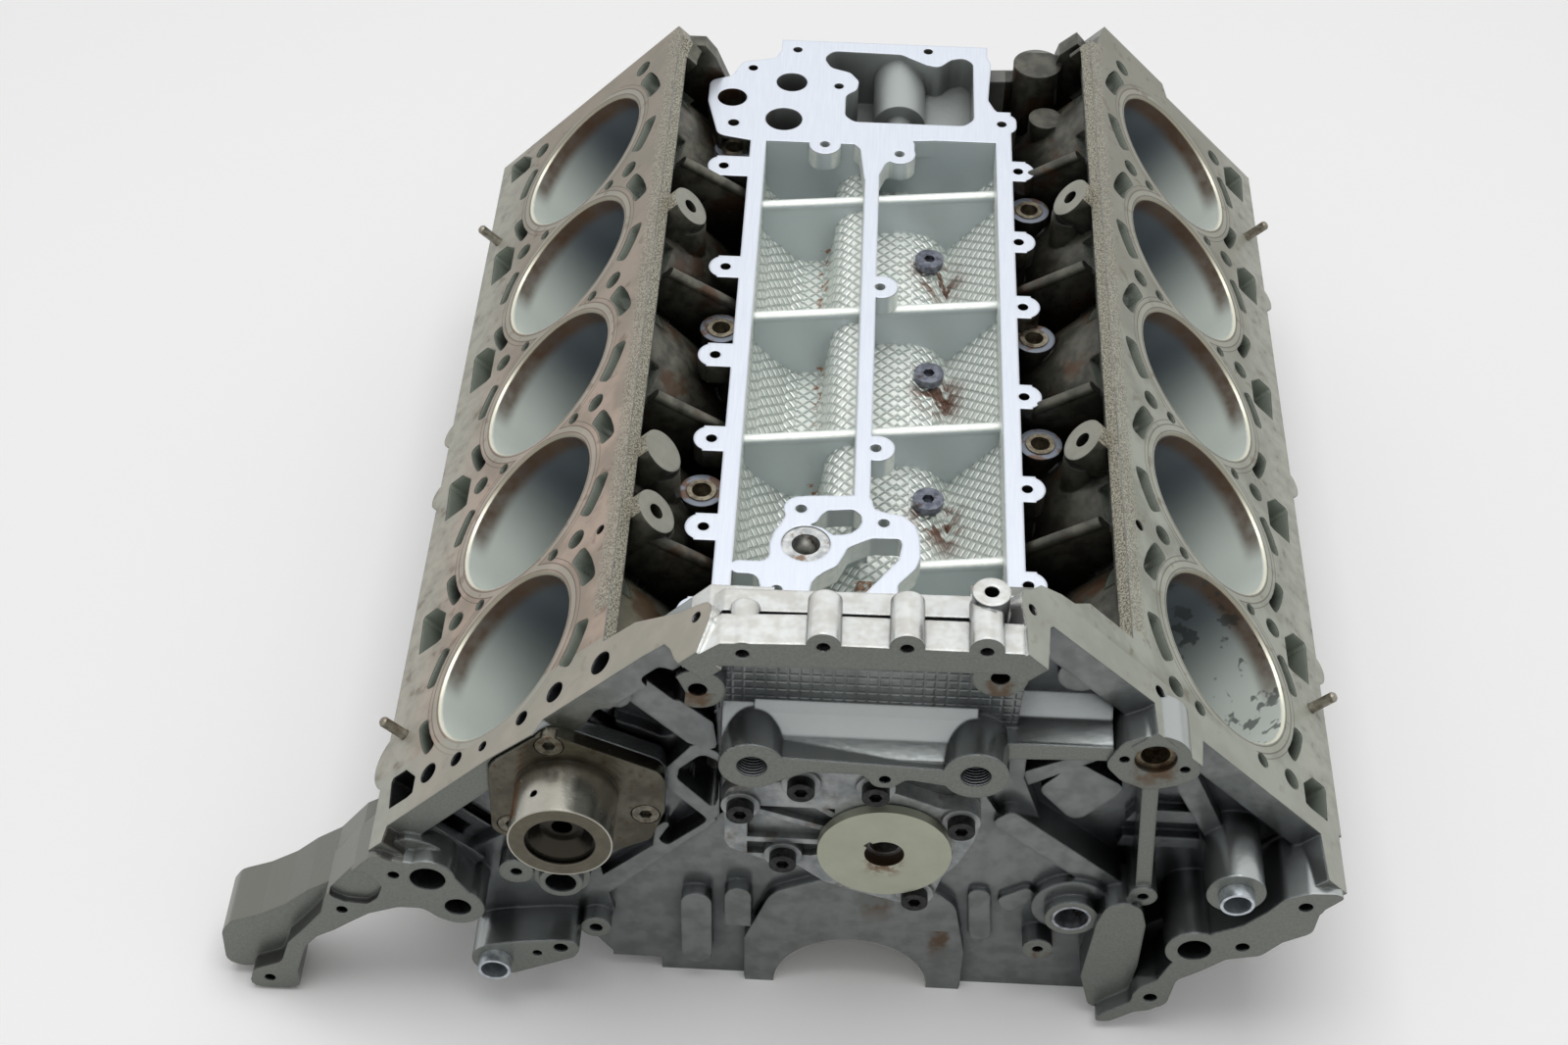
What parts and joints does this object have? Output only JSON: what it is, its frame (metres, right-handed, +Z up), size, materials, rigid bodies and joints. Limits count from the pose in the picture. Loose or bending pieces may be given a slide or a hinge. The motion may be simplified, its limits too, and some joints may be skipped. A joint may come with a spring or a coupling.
{
  "type": "engine block",
  "caption": "Upper crankcase of a V engine: two cylinder banks at a right angle, ribbed oil gallery between them, front chain case face with idler axle and balance shaft hub.",
  "frame": {"origin": "on the crankshaft axis, level with the first cylinder of the left bank", "axes": "+X to the right seen from the chain end, +Y along the crankshaft away from the chain end, +Z up through the middle of the V"},
  "size_m": [0.512, 0.539, 0.27],
  "materials": {
    "cast_aluminium": "cast, with machined faces",
    "pin_steel": "ground",
    "axle_steel": "turned and ground, dull",
    "screw_steel": "black oxide",
    "shaft_steel": "ground journals",
    "hub_steel": "turned",
    "bearing_bronze": "bored",
    "valve_steel": "turned",
    "plug_steel": "pressed"
  },
  "bodies": {
    "block": {"cylinder_block": "cast_aluminium", "head_dowels_left": "pin_steel", "head_dowels_right": "pin_steel", "idler_axle": "axle_steel", "idler_screws": "screw_steel", "shaft_housing": "cast_aluminium", "housing_screws": "screw_steel", "front_bush": "bearing_bronze", "rear_bush": "bearing_bronze", "locating_sleeve_left": "pin_steel", "locating_sleeve_right": "pin_steel", "gallery_jets": "screw_steel", "valve_seat": "valve_steel", "valve_ball": "valve_steel", "tunnel_plug": "plug_steel", "port_insert": "axle_steel", "port_sleeve": "plug_steel", "socket_bushes": "axle_steel"},
    "shaft": {"balance_shaft": "shaft_steel", "balance_hub": "hub_steel"}
  },
  "joints": [
    {"name": "balance_spin", "type": "hinge", "parent": "block", "child": "shaft", "pos_m": [0.0115, 0, 0.114], "axis": [0, 1, 0], "continuous": true}
  ]
}
